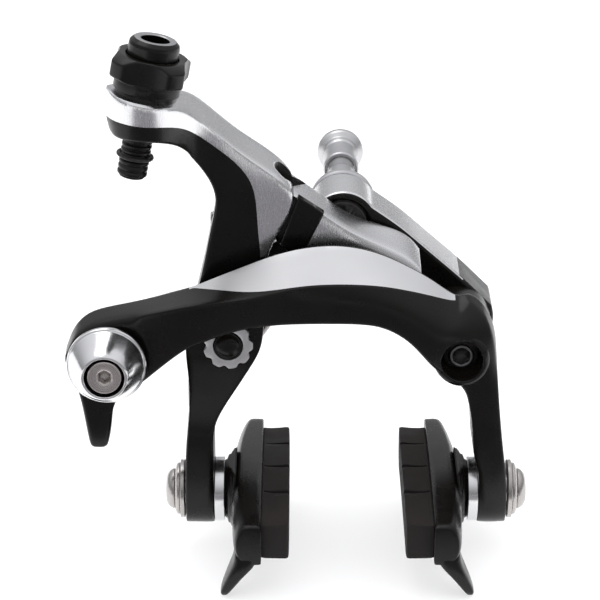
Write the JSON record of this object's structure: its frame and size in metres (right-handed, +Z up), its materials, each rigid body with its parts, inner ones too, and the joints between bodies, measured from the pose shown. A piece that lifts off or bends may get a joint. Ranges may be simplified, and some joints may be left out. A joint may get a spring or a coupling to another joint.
{
  "type": "rim brake caliper",
  "caption": "Side-pull rim brake caliper: coupled arms on a bridge, cable adjuster, quick release and brake shoes on height slots.",
  "frame": {"origin": "centre of the rear face of the fork washer, on the axis of the mounting bolt", "axes": "+Y along the mounting bolt towards the fork, +X to the right seen from the front, +Z up, away from the wheel"},
  "size_m": [0.0957, 0.0939, 0.1123],
  "materials": {
    "bright_alloy": "polished forged alloy",
    "satin_alloy": "satin anodised alloy",
    "black_alloy": "gloss black anodised alloy",
    "steel": "titanium grey fixing hardware",
    "brushed": "turned stainless screw face",
    "black_steel": "black oxide",
    "bronze": "sintered bearing bush",
    "plastic": "moulded black",
    "rubber": "moulded brake compound"
  },
  "bodies": {
    "bracket": {"bracket_bridge": "bright_alloy", "mounting_bolt": "steel", "recessed_nut": "steel", "fork_washer": "steel", "serrated_washer": "black_steel", "left_pivot_bolt": "steel", "left_pivot_cap": "black_steel", "left_lock_ring": "satin_alloy", "left_thrust_washer": "plastic", "right_pivot_bolt": "black_steel", "return_spring": "steel", "spring_clip": "plastic"},
    "rear_arm": {"left_arm": "bright_alloy", "left_pivot_bush": "bronze", "link_cover": "plastic", "left_spring_seat": "plastic"},
    "centring_screw": {"centring_screw": "steel"},
    "front_arm": {"front_arm": "black_alloy", "right_pivot_bush": "bronze", "roller_pin": "steel", "right_spring_seat": "plastic"},
    "link_roller": {"link_roller": "steel"},
    "quick_release": {"quick_release_cam": "black_steel", "quick_release_lever": "black_alloy", "cable_clamp_plate": "steel", "quick_release_cap": "bright_alloy", "cable_anchor_screw": "brushed"},
    "adjuster_knob": {"adjuster_knob": "black_alloy"},
    "adjuster_barrel": {"adjuster_barrel": "black_alloy", "barrel_stop_ring": "black_steel"},
    "left_shoe_clamp": {"left_shoe_bolt": "steel", "left_flat_washer": "steel", "left_cup_washer": "steel", "left_spacer": "satin_alloy"},
    "left_shoe": {"left_shoe_holder": "black_alloy", "left_brake_pad": "rubber", "left_pad_screw": "black_steel"},
    "right_shoe_clamp": {"right_shoe_bolt": "steel", "right_flat_washer": "steel", "right_cup_washer": "steel", "right_spacer": "satin_alloy"},
    "right_shoe": {"right_shoe_holder": "black_alloy", "right_brake_pad": "rubber", "right_pad_screw": "black_steel"}
  },
  "joints": [
    {"name": "front_arm_pivot", "type": "hinge", "parent": "bracket", "child": "front_arm", "pos_m": [0.024, -0.036, -0.021], "axis": [0, 1, 0], "range_deg": [0, 12], "stiffness_Nm_per_rad": 1.2, "springref_deg": -14.32},
    {"name": "rear_arm_pivot", "type": "hinge", "parent": "bracket", "child": "rear_arm", "pos_m": [-0.024, -0.024, -0.021], "axis": [0, 1, 0], "range_deg": [-12, 0], "stiffness_Nm_per_rad": 1.2, "springref_deg": 14.32},
    {"name": "link_roller_spin", "type": "hinge", "parent": "front_arm", "child": "link_roller", "pos_m": [0, -0.0247, -0.004], "axis": [0, 1, 0], "continuous": true},
    {"name": "centring_screw_turn", "type": "hinge", "parent": "rear_arm", "child": "centring_screw", "pos_m": [-0.0289, -0.023, 0.0034], "axis": [1, 0, 0], "range_deg": [-360, 360]},
    {"name": "quick_release_turn", "type": "hinge", "parent": "front_arm", "child": "quick_release", "pos_m": [-0.0485, -0.04, -0.021], "axis": [0, 1, 0], "range_deg": [0, 85]},
    {"name": "adjuster_knob_turn", "type": "hinge", "parent": "rear_arm", "child": "adjuster_knob", "pos_m": [-0.0399, -0.035, 0.0335], "axis": [0.1857, 0, 0.9826], "range_deg": [0, 792]},
    {"name": "adjuster_barrel_slide", "type": "slide", "parent": "rear_arm", "child": "adjuster_barrel", "axis": [0.1857, 0, 0.9826], "range_m": [0, 0.0022]},
    {"name": "left_shoe_height", "type": "slide", "parent": "rear_arm", "child": "left_shoe_clamp", "axis": [0, 0, 1], "range_m": [0, 0.009]},
    {"name": "left_shoe_tilt", "type": "hinge", "parent": "left_shoe_clamp", "child": "left_shoe", "pos_m": [-0.024, -0.033, -0.053], "axis": [1, 0, 0], "range_deg": [-10, 10]},
    {"name": "right_shoe_height", "type": "slide", "parent": "front_arm", "child": "right_shoe_clamp", "axis": [0, 0, 1], "range_m": [0, 0.009]},
    {"name": "right_shoe_tilt", "type": "hinge", "parent": "right_shoe_clamp", "child": "right_shoe", "pos_m": [0.0251, -0.033, -0.053], "axis": [1, 0, 0], "range_deg": [-10, 10]}
  ],
  "couplings": [
    {"joint": "rear_arm_pivot", "follows": "front_arm_pivot", "ratio": -1},
    {"joint": "adjuster_knob_turn", "follows": "adjuster_barrel_slide", "rad_per_m": 6283.2}
  ]
}
